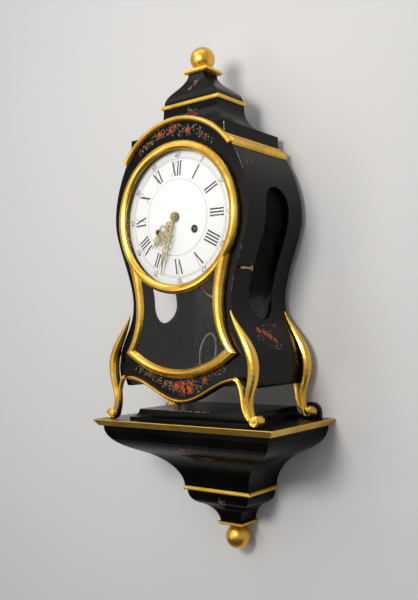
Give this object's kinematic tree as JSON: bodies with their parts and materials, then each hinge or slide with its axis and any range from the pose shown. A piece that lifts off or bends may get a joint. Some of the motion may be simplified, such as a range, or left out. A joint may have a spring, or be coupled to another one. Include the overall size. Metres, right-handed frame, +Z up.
{
  "type": "bracket clock",
  "caption": "Antique bracket clock with a waisted black and gilt case, enamel dial, glazed door, cabriole legs and its matching wall bracket.",
  "frame": {"origin": "on the wall face, midway between the two hanging screws", "axes": "+X to the clock's right seen from the front, +Y into the wall, +Z up"},
  "size_m": [0.2788, 0.1429, 0.6542],
  "materials": {
    "lacquer": "gloss black lacquer, hand painted",
    "gilding": "burnished gilding",
    "bare_wood": "plain wood",
    "steel": "satin",
    "glass": "clear",
    "brass": "satin",
    "hand_gilt": "gilt",
    "enamel": "glossy enamel"
  },
  "bodies": {
    "bracket": {"bracket_top_board": "lacquer", "bracket_edge_moulding": "gilding", "bracket_plinth": "lacquer", "bracket_upper_body": "lacquer", "bracket_back_board": "bare_wood", "bracket_band": "gilding", "bracket_lower_body": "lacquer", "bracket_cap": "gilding", "bracket_ball": "gilding", "bracket_hangers": "steel", "hanger_screws": "steel", "wall_spacers": "lacquer"},
    "case": {"case_front_panel": "lacquer", "case_left_side": "lacquer", "case_right_side": "lacquer", "case_back_board": "lacquer", "case_floor": "bare_wood", "case_top_board": "lacquer", "attic": "lacquer", "arch_moulding": "gilding", "cornice_moulding": "gilding", "apron_moulding": "gilding", "hood_cove": "lacquer", "hood_band": "gilding", "hood_ogee": "lacquer", "hood_cap": "gilding", "hood_ball": "gilding", "front_legs": "gilding", "back_legs": "gilding", "side_panes": "glass", "door_hinge_leaves": "brass", "catch_staple": "brass", "dial": "enamel", "dial_board": "bare_wood", "dial_pillars": "brass", "front_plate": "brass", "back_plate": "brass", "plate_pillars": "brass", "platform": "brass", "bell": "brass", "bell_stand": "steel", "winding_key": "steel"},
    "door": {"door_frame": "gilding", "door_glass": "glass", "door_hinges": "brass"},
    "catch": {"door_catch": "brass"},
    "minute": {"minute_hand": "hand_gilt", "hand_nut": "brass", "cannon_pinion": "brass", "centre_wheel": "steel"},
    "hour": {"hour_hand": "hand_gilt", "hour_wheel": "brass"},
    "motion": {"minute_wheel": "brass"},
    "intermediate": {"intermediate_wheel": "brass"},
    "going_drum": {"going_barrel": "brass"},
    "strike_drum": {"strike_barrel": "brass"},
    "going_wind": {"going_arbor": "steel"},
    "strike_wind": {"strike_arbor": "steel"},
    "balance": {"balance_wheel": "brass"},
    "striker": {"hammer": "steel"}
  },
  "joints": [
    {"name": "clock_lift", "type": "slide", "parent": "bracket", "child": "case", "axis": [0, 0, 1], "range_m": [0, 0.12]},
    {"name": "door_hinge", "type": "hinge", "parent": "case", "child": "door", "pos_m": [-0.097, -0.1293, 0.2814], "axis": [0, 0, 1], "range_deg": [-100, 0]},
    {"name": "catch_pivot", "type": "hinge", "parent": "case", "child": "catch", "pos_m": [0.0877, -0.0984, 0.214], "axis": [0, 0, 1], "range_deg": [0, 16]},
    {"name": "minute_turn", "type": "hinge", "parent": "case", "child": "minute", "pos_m": [0, -0.105, 0.2814], "axis": [0, 1, 0], "continuous": true},
    {"name": "hour_turn", "type": "hinge", "parent": "case", "child": "hour", "pos_m": [0, -0.115, 0.2814], "axis": [0, 1, 0], "continuous": true},
    {"name": "motion_turn", "type": "hinge", "parent": "case", "child": "motion", "pos_m": [-0.0168, -0.105, 0.2814], "axis": [0, 1, 0], "continuous": true},
    {"name": "intermediate_turn", "type": "hinge", "parent": "case", "child": "intermediate", "pos_m": [0.01743, -0.08, 0.28974], "axis": [0, 1, 0], "continuous": true},
    {"name": "going_barrel_turn", "type": "hinge", "parent": "case", "child": "going_drum", "pos_m": [0.0282, -0.08, 0.2642], "axis": [0, 1, 0], "continuous": true},
    {"name": "strike_barrel_turn", "type": "hinge", "parent": "case", "child": "strike_drum", "pos_m": [-0.0282, -0.08, 0.2642], "axis": [0, 1, 0], "range_deg": [0, 1800]},
    {"name": "going_wind", "type": "hinge", "parent": "case", "child": "going_wind", "pos_m": [0.0282, -0.08, 0.2642], "axis": [0, 1, 0], "range_deg": [0, 1800]},
    {"name": "strike_wind", "type": "hinge", "parent": "case", "child": "strike_wind", "pos_m": [-0.0282, -0.08, 0.2642], "axis": [0, 1, 0], "range_deg": [-1800, 0]},
    {"name": "balance_swing", "type": "hinge", "parent": "case", "child": "balance", "pos_m": [0, -0.08, 0.3264], "axis": [0, 0, 1], "range_deg": [-135, 135]},
    {"name": "hammer_swing", "type": "hinge", "parent": "case", "child": "striker", "pos_m": [0.038, -0.055, 0.2354], "axis": [0, 1, 0], "range_deg": [0, 10]}
  ],
  "couplings": [
    {"joint": "hour_turn", "follows": "minute_turn", "ratio": 0.083333},
    {"joint": "motion_turn", "follows": "minute_turn", "ratio": -0.33333},
    {"joint": "intermediate_turn", "follows": "minute_turn", "ratio": -0.16667},
    {"joint": "going_barrel_turn", "follows": "minute_turn", "ratio": 0.027778}
  ]
}
